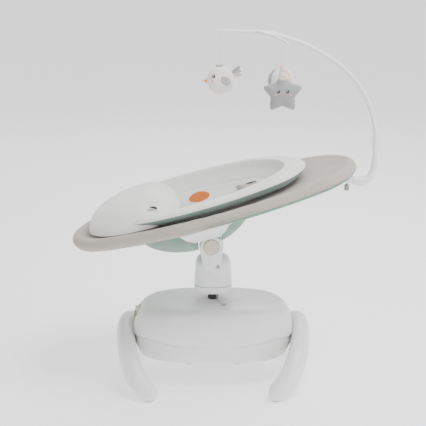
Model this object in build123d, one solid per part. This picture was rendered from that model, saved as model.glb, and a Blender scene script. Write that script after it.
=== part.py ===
"""Electric baby swing: a reclining fabric seat on a swivelling neck above a domed motor base.

Frame: millimetres, +Z up, origin on the floor under the swing shaft. +X runs towards the
foot end of the seat, -Y is the side with the front feet and front hinge cap.
"""
from build123d import *
import math
import os

# ---------------------------------------------------------------- driving dimensions
# base housing
HOUSING_HALF_LENGTH = 213.0
HOUSING_HALF_WIDTH = 130.0
HOUSING_BOTTOM = 65.0
HOUSING_SEAM = 118.0
HOUSING_TOP = 204.0
WALL = 3.0
SHAFT_HOLE_R = 17.0

# legs
LEG_TIP_X = 139.7
LEG_REACH_X = 91.5
LEG_TIP_Y = 189.0
LEG_TIP_Z = 19.0
LEG_RISE = 88.0
LEG_TIP_R = 22.0
LEG_MID_HALF_WIDTH = 25.6
LEG_MID_HALF_HEIGHT = 44.6
LEG_LEAN = 6.0
PAD_THICKNESS = 3.0
PAD_X = 161.0
PAD_Y = 187.0
PAD_HALF_LENGTH = 10.0
PAD_HALF_WIDTH = 8.5

# swing drive
SHAFT_R = 14.0
SHAFT_BOTTOM = 76.0
COLLAR_BOTTOM = 230.0
COLLAR_TOP = 250.0
SPINDLE_R = 20.0
SPINDLE_TOP = 282.0
BEARING_R = 24.0
BEARING_WIDTH = 9.0
RUN_CLEARANCE = 0.05
LEVER_Z = 92.0
MAGNET_RADIUS = 74.0

# neck and hinge
NECK_BOTTOM = 250.5
NECK_TOP = 328.0
NECK_HALF_LENGTH = 49.4
NECK_HALF_WIDTH = 47.0
NECK_CORNER_R = 35.0
NECK_TAPER = 3.4
NECK_SHOULDER_R = 26.0
HINGE_X = -4.0
HINGE_Z = 363.0
EAR_R = 31.5
EAR_OUTER_Y = 52.0
EAR_INNER_Y = 34.0
KNUCKLE_R = 29.0
KNUCKLE_HALF = 33.7
HINGE_PIN_R = 8.0
RECLINE_CAP_R = 19.6
RECLINE_CAP_THICKNESS = 6.0
RECLINE_CAP_PROUD = 1.5

# seat, in its own tilted frame: x towards the feet, z away from the seat's underside
SEAT_TILT = 15.4
SEAT_Z = 471.0
FRAME_HALF_LENGTH = 363.0
FRAME_HALF_WIDTH = 193.0
FRAME_END_R = 150.0
TUBE_R = 9.0
SLEEVE_R = 13.0
SLEEVE_FROM_X = -92.0
SLEEVE_TO_X = 58.0
RIM_R = 15.5
FABRIC_SPLIT_Z = -4.0
PANEL_THICKNESS = 4.0
BOWL_X = -60.0
BOWL_HALF_LENGTH = 161.0
BOWL_HALF_WIDTH = 168.0
BOWL_DEPTH = 96.0
BOWL_WALL = 5.0
YOKE_THICKNESS = 15.0
FABRIC_GAP = 1.0

# soft goods on the seat
INSERT_X = -39.0
INSERT_HALF_LENGTH = 290.0
INSERT_HALF_WIDTH = 177.0
INSERT_END_R = 140.0
INSERT_BOTTOM = 8.0
INSERT_TOP = 54.0
DISH_X = -38.0
DISH_Z = 48.0
DISH_HALF_LENGTH = 226.0
DISH_HALF_WIDTH = 126.0
DISH_DEPTH = 78.0
PILLOW_X = -206.0
PILLOW_Z = 26.0
PILLOW_HALF_LENGTH = 118.0
PILLOW_HALF_WIDTH = 146.0
PILLOW_HALF_HEIGHT = 58.0

# toy bar and hanging toys
PIVOT_X = 345.0
PIVOT_Z = 533.0
BAR_FOOT_R = 12.5
BAR_R = 7.0
BAR_TIP_R = 5.0
HUB = (120.0, 0.0, 905.0)
STRING_R = 0.7
RELEASE_STEM_R = 2.5
BIRD_TOP = 822.0
STAR_TOP = 812.0
BALLOON_TOP = 807.0

SEAT_LOCATION = Location((0, 0, SEAT_Z), (0, -SEAT_TILT, 0))
PARTS = {}


# ---------------------------------------------------------------- small helpers
def save(name, shape):
    """Keep a finished piece under its node name."""
    PARTS[name] = shape


def group(solids):
    """Identical loose pieces as one node."""
    return Compound(children=list(solids))


def seat_placed(shape):
    """Move a piece from the seat's own frame into the row frame."""
    return SEAT_LOCATION * shape


def to_seat(x, z):
    """A point of the row frame's XZ plane, in the seat's own frame."""
    angle = math.radians(SEAT_TILT)
    dz = z - SEAT_Z
    return x * math.cos(angle) + dz * math.sin(angle), dz * math.cos(angle) - x * math.sin(angle)


def rod_z(radius, low, high, x=0.0, y=0.0):
    """Upright cylinder between two heights."""
    return Pos(x, y, (low + high) / 2) * Cylinder(radius, high - low)


def rod_y(radius, low, high, x=0.0, z=0.0):
    """Cylinder along Y between two values of y."""
    return Pos(x, (low + high) / 2, z) * Rot(90, 0, 0) * Cylinder(radius, high - low)


def rod_x(radius, low, high, y=0.0, z=0.0):
    """Cylinder along X between two values of x."""
    return Pos((low + high) / 2, y, z) * Rot(0, 90, 0) * Cylinder(radius, high - low)


def block(low, high):
    """Axis-aligned box from its two corners."""
    size = [b - a for a, b in zip(low, high)]
    centre = [(a + b) / 2 for a, b in zip(low, high)]
    return Pos(*centre) * Box(*size)


def prism_x(points, low, high):
    """Prism along X with an outline given as (y, z) points."""
    face = make_face(Plane.YZ * Polyline(*points, close=True))
    return extrude(Pos(low, 0, 0) * face, high - low, dir=(1, 0, 0))


def prism_y(points, low, high):
    """Prism along Y with an outline given as (x, z) points."""
    flat = [(x, low, z) for x, z in points]
    face = make_face(Polyline(*flat, close=True))
    return extrude(face, high - low, dir=(0, 1, 0))


def ellipsoid(centre, radii):
    """Ellipsoid from its centre and three half axes."""
    return Pos(*centre) * scale(Sphere(1.0), by=tuple(radii))


def oval_wire(half_length, half_width, end_r, x=0.0):
    """Four-arc oval in the XY plane, long along X."""
    reach = half_length - end_r
    side_r = (reach ** 2 + half_width ** 2 - end_r ** 2) / (2 * (half_width - end_r))
    drop = side_r - half_width
    turn = math.degrees(math.atan2(drop, reach))
    sweep_side = 180.0 - 2 * turn
    arcs = [
        CenterArc((x + reach, 0), end_r, -turn, 2 * turn),
        CenterArc((x, -drop), side_r, turn, sweep_side),
        CenterArc((x - reach, 0), end_r, 180.0 - turn, 2 * turn),
        CenterArc((x, drop), side_r, 180.0 + turn, sweep_side),
    ]
    return Wire([edge for arc in arcs for edge in arc.edges()])


def oval_plate(half_length, half_width, end_r, x, low, high):
    """Flat plate with an oval outline."""
    outline = Face(oval_wire(half_length, half_width, end_r, x))
    return extrude(Pos(0, 0, low) * outline, high - low)


def oval_ring(radius):
    """Round bar bent along the seat frame's centreline."""
    path = oval_wire(FRAME_HALF_LENGTH, FRAME_HALF_WIDTH, FRAME_END_R)
    start = Plane(origin=path @ 0, z_dir=path % 0)
    return sweep(start * Circle(radius), path=path)


def housing_outline(half_length, half_width, height):
    """Rounded four-arc outline of the base housing at one height."""
    corner_x = 0.88 * half_length
    corner_y = 0.70 * half_width
    corners = [(-corner_x, -corner_y), (corner_x, -corner_y), (corner_x, corner_y), (-corner_x, corner_y)]
    middles = [(0, -half_width), (half_length, 0), (0, half_width), (-half_length, 0)]
    edges = []
    for index, middle in enumerate(middles):
        edges.append(ThreePointArc(corners[index], middle, corners[(index + 1) % 4]).edge())
    outline = Face(Wire(edges))
    return Pos(0, 0, height) * fillet(outline.vertices(), 0.36 * half_width)


def housing_solid(levels, inset=0.0):
    """Solid through housing outlines; each level is (height, half length, half width)."""
    sections = [housing_outline(length - inset, width - inset, z) for z, length, width in levels]
    return loft(sections)


# ---------------------------------------------------------------- base
DOME_LEVELS = [
    (HOUSING_SEAM, HOUSING_HALF_LENGTH, HOUSING_HALF_WIDTH - 2),
    (150.0, 210.0, 126.0),
    (174.0, 202.0, 121.0),
    (192.0, 186.0, 112.0),
    (HOUSING_TOP, 160.0, 98.0),
]
SKIRT_LEVELS = [
    (HOUSING_BOTTOM, 198.0, 121.0),
    (82.0, 206.0, 127.0),
    (HOUSING_SEAM, HOUSING_HALF_LENGTH, HOUSING_HALF_WIDTH),
]
PANEL_Z = 167.0
PANEL_HALF_WIDTH = 46.0
PANEL_HALF_HEIGHT = 18.0
BUTTON_R = 5.0
BUTTON_PITCH = 18.0
BUTTON_INNER_X = -182.0
BUTTON_OUTER_X = -209.6
BUTTON_NAMES = ["power_button", "speed_button", "timer_button", "music_button"]
SCREW_R = 2.0
SCREW_HEAD_R = 3.6
BOSS_R = 6.0
BOSS_SPOTS = [(-130.0, -70.0), (130.0, -70.0), (130.0, 70.0), (-130.0, 70.0)]
COLUMN_R = 30.0
LOWER_BEARING_Z = 78.0
UPPER_BEARING_Z = 186.0
COLUMN_TOP = 199.0
BOARD_X = -176.0
CABLE_R = 1.5
CABLE_HOLE = (27.9, -54.4)
CABLE_HOLE_R = 10.0
CABLE_POINTS = [
    (9.5, -17.5, 229.6),
    (9.5, -17.5, 220.8),
    (11.5, -21.5, 213.0),
    (15.0, -28.5, 208.5),
    (21.0, -43.0, 208.0),
    (26.6, -52.4, 203.0),
    (29.4, -57.8, 194.8),
]


def button_y(index):
    """Where a control button sits across the panel."""
    return (index - 1.5) * BUTTON_PITCH


def dome_shell():
    """Upper housing cover: a thin dome with the shaft hole and the button holes."""
    outer = housing_solid(DOME_LEVELS)
    inner_levels = [(z - (WALL if z > HOUSING_SEAM else 1.0), a, b) for z, a, b in DOME_LEVELS]
    shell = outer - housing_solid(inner_levels, WALL)
    shell -= rod_z(SHAFT_HOLE_R, HOUSING_TOP - 12, HOUSING_TOP + 5)
    for index in range(len(BUTTON_NAMES)):
        shell -= rod_x(BUTTON_R + 0.4, -230, -184, button_y(index), PANEL_Z)
    for x, y in BOSS_SPOTS:
        shell += rod_z(BOSS_R, 112.0, HOUSING_TOP, x, y) & outer
        shell -= rod_z(SCREW_R, 100.0, 134.0, x, y)
    return shell


def tray_shell():
    """Lower housing cover: an open tray with screw pillars and the jack's window."""
    outer = housing_solid(SKIRT_LEVELS)
    inner_levels = [(z + (WALL if z < HOUSING_SEAM else 1.0), a, b) for z, a, b in SKIRT_LEVELS]
    shell = outer - housing_solid(inner_levels, WALL)
    for x, y in BOSS_SPOTS:
        shell += rod_z(BOSS_R, HOUSING_BOTTOM + 1, 112.0, x, y)
        shell -= rod_z(SCREW_HEAD_R + 0.2, HOUSING_BOTTOM - 1, 76.0, x, y)
        shell -= rod_z(SCREW_R, 75.0, 113.0, x, y)
    shell -= rod_y(5.0, 100.0, 140.0, 60.0, 92.0)
    return shell


def leg_spine(u):
    """Centre of the leg's section; u runs from the front tip (-1) to the rear tip (1)."""
    lift = max(math.cos(u * math.pi / 2), 0.0)
    x = LEG_TIP_X + LEG_REACH_X * lift ** 0.75
    y = LEG_TIP_Y * math.sin(u * math.pi / 2)
    z = LEG_TIP_Z + LEG_RISE * lift ** 1.55
    return Vector(x, y, z)


def leg_section(u):
    """Elliptical section of the leg, square to its spine; it closes in over the rounded tip."""
    lift = math.cos(u * math.pi / 2)
    to_tip = min(1.0, (leg_spine(u) - leg_spine(math.copysign(1.0, u))).length / LEG_TIP_R)
    span = math.sqrt(1.0 - (1.0 - to_tip) ** 2)
    half_width = (LEG_TIP_R + (LEG_MID_HALF_WIDTH - LEG_TIP_R) * lift ** 0.5) * span
    half_height = (LEG_TIP_R + (LEG_MID_HALF_HEIGHT - LEG_TIP_R) * lift ** 1.5) * span
    step = 0.004
    direction = (leg_spine(min(u + step, 1.0)) - leg_spine(max(u - step, -1.0))).normalized()
    sideways = Vector(0, 0, 1).cross(direction).normalized()
    plane = Plane(origin=leg_spine(u), x_dir=sideways, z_dir=direction)
    return plane * Rot(0, 0, LEG_LEAN * lift) * Ellipse(half_width, half_height)


def leg_solid():
    """One arched leg at the +X end, with flat soles and a face that fits the housing."""
    half = [0.17, 0.33, 0.48, 0.62, 0.74, 0.83, 0.9, 0.945, 0.975, 0.99, 0.9975]
    stations = [-u for u in reversed(half)] + [0.0] + half
    leg = loft([leg_section(u) for u in stations])
    leg -= block((100, -260, -40), (320, 260, PAD_THICKNESS))
    leg -= housing_solid(SKIRT_LEVELS)
    leg -= housing_solid(DOME_LEVELS)
    return max(leg.solids(), key=lambda solid: solid.volume)


def foot_pads():
    """Four rubber soles under the leg tips."""
    pads = []
    for side in (-1, 1):
        for front in (-1, 1):
            pad = Pos(side * PAD_X, front * PAD_Y, 0) * Ellipse(PAD_HALF_LENGTH, PAD_HALF_WIDTH)
            pads.append(extrude(pad, PAD_THICKNESS))
    return group(pads)


def control_panel():
    """Beige fascia that lies on the left end of the dome."""
    raised = [(z + 0.6, a + 1.4, b + 1.4) for z, a, b in DOME_LEVELS]
    outline = Plane.YZ * Pos(0, PANEL_Z) * Ellipse(PANEL_HALF_WIDTH, PANEL_HALF_HEIGHT)
    fascia = housing_solid(raised) & extrude(outline, -260)
    fascia -= housing_solid(DOME_LEVELS)
    for index in range(len(BUTTON_NAMES)):
        fascia -= rod_x(BUTTON_R + 0.4, -230, -184, button_y(index), PANEL_Z)
    return fascia


def control_button(index):
    """One push button with its stem, reaching from the switch to the fascia."""
    y = button_y(index)
    cap = rod_x(BUTTON_R, BUTTON_OUTER_X, BUTTON_OUTER_X + 12, y, PANEL_Z)
    cap = fillet(cap.edges().filter_by(GeomType.CIRCLE).sort_by(Axis.X)[0], 1.0)
    stem = rod_x(2.0, BUTTON_OUTER_X + 12, BUTTON_INNER_X, y, PANEL_Z)
    return cap + stem


def indicator_lamps():
    """Row of small round lamps above the buttons."""
    lamps = []
    for index in range(5):
        lamps.append(rod_x(1.3, -206.6, -198.0, (index - 2) * 8.0, PANEL_Z + 11.0))
    return group(lamps)


def circuit_board():
    """Upright board behind the panel, with one tact switch for each button."""
    board = block((BOARD_X, -44.0, 128.0), (BOARD_X + 1.6, 44.0, 180.0))
    for index in range(len(BUTTON_NAMES)):
        y = button_y(index)
        board += block((BOARD_X - 4.4, y - 3, PANEL_Z - 3), (BOARD_X, y + 3, PANEL_Z + 3))
    board += block((BOARD_X + 1.6, -12.0, 136.0), (BOARD_X + 4.6, 12.0, 152.0))
    return board


def speaker():
    """Small round loudspeaker standing on the tray floor."""
    basket = rod_z(26.0, HOUSING_BOTTOM + WALL, 80.0, 150.0, 0.0)
    magnet = rod_z(14.0, 80.0, 92.0, 150.0, 0.0)
    return basket + magnet


def power_jack():
    """Barrel socket for the mains adapter, in the back wall of the tray."""
    body = rod_y(4.9, 112.0, 126.0, 60.0, 92.0)
    collar = block((53.0, 106.0, 84.0), (67.0, 112.0, 100.0))
    socket = rod_y(2.75, 116.0, 127.0, 60.0, 92.0)
    pin = rod_y(1.05, 115.0, 125.0, 60.0, 92.0)
    return body + collar - socket + pin


def bearing_column():
    """Fixed tube that carries both shaft bearings, on four feet on the tray floor."""
    floor = HOUSING_BOTTOM + WALL
    tube = rod_z(COLUMN_R, floor, COLUMN_TOP)
    tube -= rod_z(SHAFT_R + 3.0, floor + 2, COLUMN_TOP + 1)
    for z in (LOWER_BEARING_Z, UPPER_BEARING_Z):
        tube -= rod_z(BEARING_R, z - BEARING_WIDTH / 2, z + BEARING_WIDTH / 2)
    tube -= rod_z(BEARING_R, UPPER_BEARING_Z, COLUMN_TOP + 1)
    window_low = LEVER_Z - 9.0
    window_high = LEVER_Z + 9.0
    tube -= block((-COLUMN_R - 1, 6.0 - COLUMN_R - 8, window_low), (COLUMN_R + 1, -4.0, window_high))
    for angle in (45, 135, 225, 315):
        foot = Rot(0, 0, angle) * block((COLUMN_R - 2, -8, floor), (COLUMN_R + 16, 8, floor + 5))
        tube += foot
    return tube


def bearing(height):
    """Plain bearing ring around the shaft."""
    low = height - BEARING_WIDTH / 2
    high = height + BEARING_WIDTH / 2
    return rod_z(BEARING_R, low, high) - rod_z(SHAFT_R + RUN_CLEARANCE, low - 1, high + 1)


def shaft_gaiter():
    """Soft ring that closes the gap around the shaft in the dome's hole."""
    low = HOUSING_TOP - 2.6
    ring = rod_z(SHAFT_HOLE_R, low, HOUSING_TOP + 1.0)
    return ring - rod_z(SHAFT_R + 0.6, low - 1, HOUSING_TOP + 2.0)


def drive_coil():
    """Wound coil in front of the magnet's path."""
    coil = rod_y(13.0, -100.0, -86.0, 0.0, LEVER_Z)
    return coil - rod_y(5.0, -101.0, -85.0, 0.0, LEVER_Z)


def coil_bracket():
    """Angle bracket that holds the coil to the tray floor, with its iron core."""
    floor = HOUSING_BOTTOM + WALL
    plate = block((-16, -104.0, floor), (16, -100.0, LEVER_Z + 14))
    foot = block((-16, -100.0, floor), (16, -82.0, floor + 3))
    core = rod_y(4.9, -100.0, -86.5, 0.0, LEVER_Z)
    return plate + foot + core


def cover_screws():
    """Four screws that hold the tray to the dome."""
    screws = []
    for x, y in BOSS_SPOTS:
        head = rod_z(SCREW_HEAD_R, 72.0, 75.0, x, y)
        screws.append(head + rod_z(SCREW_R, 75.0, 130.0, x, y))
    return group(screws)


def leg_screws():
    """Two screws through each end wall of the tray into the leg."""
    screws = []
    for side in (-1, 1):
        for y in (-20.0, 20.0):
            inner = side * 203.0
            shank = rod_x(SCREW_R, min(inner, side * 222), max(inner, side * 222), y, 104.0)
            head_low = min(side * 199.5, side * 203)
            head = rod_x(SCREW_HEAD_R, head_low, head_low + 3.5, y, 104.0)
            screws.append(shank + head)
    return group(screws)


def seat_cable():
    """Thin lead from the collar down into the dome, with slack for the sway."""
    points = [Vector(*point) for point in CABLE_POINTS]
    radii = []
    for before, corner, after in zip(points, points[1:], points[2:]):
        first = corner - before
        second = after - corner
        turn = math.radians(first.get_angle(second))
        radii.append(0.45 * min(first.length, second.length) / math.tan(turn / 2))
    print("cable radii", [round(radius, 1) for radius in radii])
    path = FilletPolyline(*CABLE_POINTS, radius=radii)
    start = Plane(origin=path @ 0, z_dir=path % 0)
    cable = sweep(start * Circle(CABLE_R), path=path)
    print("cable length", round(path.length, 1), "volume ratio", cable.volume / (path.length * math.pi * CABLE_R ** 2))
    return cable


def build_base():
    """Everything that stands still on the floor."""
    dome = dome_shell()
    leg = leg_solid()
    screws = leg_screws()
    lamps = indicator_lamps()
    control_leg = mirror(leg, Plane.YZ)
    save("control_panel", control_panel() - lamps - control_leg)
    save("base_top_cover", dome - lamps - rod_z(CABLE_HOLE_R, 195.0, 215.0, *CABLE_HOLE))
    save("base_bottom_cover", tray_shell() - screws)
    save("rear_end_leg", leg - screws)
    save("control_end_leg", control_leg - screws)
    save("leg_screws", screws)
    save("foot_pads", foot_pads())
    save("indicator_lamps", lamps)
    for index, name in enumerate(BUTTON_NAMES):
        save(name, control_button(index))
    save("circuit_board", circuit_board())
    save("speaker", speaker())
    save("power_jack", power_jack())
    save("bearing_column", bearing_column())
    save("lower_bearing", bearing(LOWER_BEARING_Z))
    save("upper_bearing", bearing(UPPER_BEARING_Z))
    save("shaft_gaiter", shaft_gaiter())
    save("drive_coil", drive_coil())
    save("coil_bracket", coil_bracket())
    save("cover_screws", cover_screws())
    save("seat_cable", seat_cable())


# ---------------------------------------------------------------- swing arm
def swing_shaft():
    """Steel shaft that sways in the two bearings."""
    shaft = rod_z(SHAFT_R, SHAFT_BOTTOM, COLLAR_TOP - 4)
    shaft = chamfer(shaft.edges().sort_by(Axis.Z)[0], 1.5)
    return shaft - rod_x(2.0, -20, 20, 0.0, LEVER_Z)


def rounded_plan(height):
    """Rounded rectangle shared by the neck and its collar."""
    return Pos(0, 0, height) * RectangleRounded(2 * NECK_HALF_LENGTH, 2 * NECK_HALF_WIDTH, NECK_CORNER_R)


def lower_collar():
    """White collar on the shaft, with the spindle that the neck turns on."""
    collar = extrude(rounded_plan(COLLAR_BOTTOM), COLLAR_TOP - COLLAR_BOTTOM)
    collar = fillet(collar.edges().group_by(Axis.Z)[0], 9.0)
    collar += rod_z(SPINDLE_R, COLLAR_TOP - 1, SPINDLE_TOP)
    return collar - rod_z(SHAFT_R, COLLAR_BOTTOM - 5, COLLAR_TOP - 4)


def drive_lever():
    """Clamped lever that carries the magnet past the coil."""
    hub = rod_z(SHAFT_R + 2.5, LEVER_Z - 7, LEVER_Z + 7)
    arm = block((-7, -72, LEVER_Z - 4), (7, -SHAFT_R, LEVER_Z + 4))
    lever = hub + arm - rod_z(SHAFT_R, LEVER_Z - 10, LEVER_Z + 10)
    return lever - rod_x(2.0, -20, 20, 0.0, LEVER_Z)


def build_swing_arm():
    """Shaft, collar and the lever inside the base."""
    save("swing_shaft", swing_shaft())
    save("lower_collar", lower_collar())
    save("drive_lever", drive_lever())
    save("lever_pin", rod_x(2.0, -16.0, 16.0, 0.0, LEVER_Z))
    magnet = block((-9, -10 - MAGNET_RADIUS, LEVER_Z - 8), (9, 2 - MAGNET_RADIUS, LEVER_Z + 8))
    save("drive_magnet", magnet)
    circlip = rod_z(SHAFT_R + 3.0, 191.0, 192.5) - rod_z(SHAFT_R, 190.0, 193.0)
    save("shaft_circlip", circlip)


# ---------------------------------------------------------------- neck
LOCK_BUTTON_X = 13.0
LOCK_BUTTON_Z = 309.0
LOCK_BUTTON_R = 4.0
EAR_FOOT_Z = 286.0


def hinge_ear(low, high):
    """One hinge ear between two values of y: a disc that narrows down into the neck."""
    disc = rod_y(EAR_R, low, high, HINGE_X, HINGE_Z)
    skirt = prism_y([
        (HINGE_X - 29.0, HINGE_Z - 12),
        (HINGE_X - 24.0, 322.0),
        (HINGE_X - 14.0, 300.0),
        (HINGE_X + 2.0, EAR_FOOT_Z),
        (HINGE_X + 20.0, EAR_FOOT_Z),
        (HINGE_X + 25.0, 304.0),
        (HINGE_X + 25.0, 322.0),
        (HINGE_X + 29.0, HINGE_Z - 12),
    ], low, high)
    return disc + skirt


def neck_shell():
    """Turning neck: a domed column with an ear at the front and the rear."""
    neck = extrude(rounded_plan(NECK_BOTTOM), NECK_TOP - NECK_BOTTOM, taper=NECK_TAPER)
    neck = fillet(neck.edges().group_by(Axis.Z)[-1], NECK_SHOULDER_R)
    for side in (-1, 1):
        neck += hinge_ear(min(side * 30.0, side * EAR_OUTER_Y), max(side * 30.0, side * EAR_OUTER_Y))
    neck -= rod_y(EAR_R + 1.0, -EAR_INNER_Y, EAR_INNER_Y, HINGE_X, HINGE_Z)
    neck -= rod_y(HINGE_PIN_R, -40.5, 40.5, HINGE_X, HINGE_Z)
    neck -= rod_z(SPINDLE_R + RUN_CLEARANCE, NECK_BOTTOM - 1, SPINDLE_TOP + 0.5)
    for side in (-1, 1):
        near = side * (EAR_OUTER_Y - 11)
        far = side * (EAR_OUTER_Y + 5)
        neck -= rod_y(RECLINE_CAP_R + 0.4, min(near, far), max(near, far), HINGE_X, HINGE_Z)
    neck -= rod_y(LOCK_BUTTON_R + 0.3, -60.0, -42.0, LOCK_BUTTON_X, LOCK_BUTTON_Z)
    return neck


def recline_cap(side):
    """Round release cap at one end of the hinge."""
    face = side * (EAR_OUTER_Y + RECLINE_CAP_PROUD)
    back = face - side * RECLINE_CAP_THICKNESS
    cap = rod_y(RECLINE_CAP_R, min(face, back), max(face, back), HINGE_X, HINGE_Z)
    rim = cap.edges().filter_by(GeomType.CIRCLE).sort_by(Axis.Y)[0 if side < 0 else -1]
    return fillet(rim, 1.5)


def build_neck():
    """Neck, hinge pin and the buttons on the neck."""
    save("neck_shell", neck_shell())
    save("hinge_pin", rod_y(HINGE_PIN_R, -40.0, 40.0, HINGE_X, HINGE_Z))
    save("front_recline_cap", recline_cap(-1))
    save("rear_recline_cap", recline_cap(1))
    lock = rod_y(LOCK_BUTTON_R, -EAR_OUTER_Y - 1.0, -46.0, LOCK_BUTTON_X, LOCK_BUTTON_Z)
    save("swivel_lock_button", lock)


# ---------------------------------------------------------------- seat structure
HINGE_SEAT_X, HINGE_SEAT_Z = to_seat(HINGE_X, HINGE_Z)


def yoke_top_points(margin):
    """Upper edge of the yoke, as seen along the seat; mirrored about y = 0."""
    half = [(62.0, -54.0), (120.0, -45.0), (164.0, -23.0), (190.0, 2.0)]
    right = [(y, z + margin) for y, z in half]
    left = [(-y, z) for y, z in reversed(right)]
    return left + right


def yoke_band():
    """The yoke's curved bar, as a solid across the whole seat width."""
    top = yoke_top_points(0.0)
    low = []
    for (y, z), spread in zip(top, (8.0, 10.0, 5.0, 0.0, 0.0, 5.0, 10.0, 8.0)):
        low.append((y + math.copysign(spread, y), z - YOKE_THICKNESS))
    return prism_x(top + low[::-1], -100.0, 70.0)


def yoke_side(margin):
    """Side outline of the yoke: narrow at the hinge and wide at the side tubes."""
    m = margin
    return prism_y([
        (-62 - m, -140), (-62 - m, -86), (-72 - m, -44), (SLEEVE_FROM_X - m, -10),
        (SLEEVE_FROM_X - m, 30), (SLEEVE_TO_X + m, 30), (SLEEVE_TO_X + m, -8),
        (36 + m, -18), (10 + m, -52), (-3 + m, -86), (-3 + m, -140),
    ], -215.0, 215.0)


def yoke_keepout(margin):
    """Space that the fabric bowl leaves free for the yoke."""
    top = yoke_top_points(margin)
    level = top[-1][1]
    section = top + [(214, level), (214, -200), (-214, -200), (-214, level)]
    space = prism_x(section, -110.0, 80.0) & yoke_side(margin)
    reach = EAR_OUTER_Y + 3.0 + margin
    return space + rod_y(EAR_R + 2.0 + margin, -reach, reach, HINGE_SEAT_X, HINGE_SEAT_Z)


def seat_bracket(tube):
    """Moulded yoke from the hinge knuckle up to the two side tubes, in the seat's frame."""
    sleeve = oval_ring(SLEEVE_R) & block((SLEEVE_FROM_X, -230, -30), (SLEEVE_TO_X, 230, 30))
    web = block((HINGE_SEAT_X - 24, -KNUCKLE_HALF, HINGE_SEAT_Z),
                (HINGE_SEAT_X + 24, KNUCKLE_HALF, -55.0))
    yoke = (yoke_band() & yoke_side(0.0)) + sleeve + web
    yoke += rod_y(KNUCKLE_R, -KNUCKLE_HALF, KNUCKLE_HALF, HINGE_SEAT_X, HINGE_SEAT_Z)
    yoke -= rod_y(HINGE_PIN_R + RUN_CLEARANCE, -50, 50, HINGE_SEAT_X, HINGE_SEAT_Z)
    for low, high in ((-56.0, -KNUCKLE_HALF), (KNUCKLE_HALF, 56.0)):
        yoke -= rod_y(EAR_R + 2.0, low, high, HINGE_SEAT_X, HINGE_SEAT_Z)
    return yoke - tube


def frame_screws():
    """Two screws through each sleeve into the side tube."""
    screws = []
    for side in (-1, 1):
        for x in (-62.0, 28.0):
            y = side * (FRAME_HALF_WIDTH - 1.0)
            screws.append(rod_z(3.2, -16.0, -12.9, x, y) + rod_z(1.8, -13.0, -2.0, x, y))
    return group(screws)


def toy_bar_socket():
    """Clip under the foot end of the frame, with two cheeks for the toy bar's pivot."""
    ring = oval_ring(SLEEVE_R) & block((330, -20, -30), (400, 20, 30))
    drop = block((PIVOT_X - 10, -14, PIVOT_Z), (PIVOT_X + 9, 14, 560.0))
    drop += rod_y(10.0, -14.0, 14.0, PIVOT_X, PIVOT_Z)
    slot = block((PIVOT_X - 12, -7.8, PIVOT_Z - 20), (PIVOT_X + 14, 7.8, PIVOT_Z + 14))
    socket = seat_placed(ring) + drop
    socket -= slot
    socket -= seat_placed(oval_ring(TUBE_R))
    return socket - rod_y(3.0, -20, 20, PIVOT_X, PIVOT_Z)


# ---------------------------------------------------------------- seat fabric
def rim_solid():
    """Padded rim around the frame tube."""
    return oval_ring(RIM_R)


def bowl_outer():
    """Outer shape of the hanging seat pocket."""
    ball = ellipsoid((BOWL_X, 0, -8), (BOWL_HALF_LENGTH, BOWL_HALF_WIDTH, BOWL_DEPTH))
    return ball - block((-300, -300, -8), (300, 300, 200)) - yoke_keepout(FABRIC_GAP)


def bowl_inner():
    """Hollow inside the pocket."""
    radii = (BOWL_HALF_LENGTH - BOWL_WALL, BOWL_HALF_WIDTH - BOWL_WALL, BOWL_DEPTH - BOWL_WALL)
    ball = ellipsoid((BOWL_X, 0, -8), radii)
    return ball - yoke_keepout(FABRIC_GAP + BOWL_WALL)


def seat_fabrics(tube, bracket):
    """Upper cover and lower pocket, split at the height of the piping."""
    plate_half_length = FRAME_HALF_LENGTH - 4
    plate_half_width = FRAME_HALF_WIDTH - 4
    end_r = FRAME_END_R - 4
    upper_low = FABRIC_SPLIT_Z
    lower_low = FABRIC_SPLIT_Z - PANEL_THICKNESS
    upper = oval_plate(plate_half_length, plate_half_width, end_r, 0, upper_low, 0.0)
    lower = oval_plate(plate_half_length, plate_half_width, end_r, 0, lower_low, upper_low)
    rim = rim_solid()
    upper += rim - block((-500, -300, -60), (500, 300, FABRIC_SPLIT_Z))
    lower += rim - block((-500, -300, FABRIC_SPLIT_Z), (500, 300, 60))
    lower += bowl_outer()
    hollow = bowl_inner()
    guard = oval_ring(TUBE_R)
    clearance = bracket + seat_inverse(toy_bar_socket())
    return upper - hollow - guard - clearance, lower - hollow - guard - clearance


def seat_inverse(shape):
    """Move a piece from the row frame into the seat's own frame."""
    return SEAT_LOCATION.inverse() * shape


def pillow_solid():
    """Head pillow as one crowned form."""
    ball = ellipsoid((PILLOW_X, 0, PILLOW_Z),
                     (PILLOW_HALF_LENGTH, PILLOW_HALF_WIDTH, PILLOW_HALF_HEIGHT))
    return ball - block((-500, -300, -100), (500, 300, INSERT_BOTTOM + 9)) - oval_ring(RIM_R + FABRIC_GAP)


def insert_solid():
    """Removable insert: a raised oval bolster around a dished seat."""
    slab = oval_plate(INSERT_HALF_LENGTH, INSERT_HALF_WIDTH, INSERT_END_R, INSERT_X,
                      INSERT_BOTTOM, INSERT_TOP)
    top_edges = slab.edges().group_by(Axis.Z)[-1]
    slab = fillet(top_edges, 16.0)
    bulge = ellipsoid((BOWL_X, 0, 0), (BOWL_HALF_LENGTH - 18, BOWL_HALF_WIDTH - 22, 76.0))
    bulge -= block((-400, -300, INSERT_BOTTOM), (400, 300, 200))
    bulge -= yoke_keepout(FABRIC_GAP + BOWL_WALL + 1.0)
    dish = ellipsoid((DISH_X, 0, DISH_Z), (DISH_HALF_LENGTH, DISH_HALF_WIDTH, DISH_DEPTH))
    return slab + bulge - dish - oval_ring(RIM_R + FABRIC_GAP)


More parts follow.
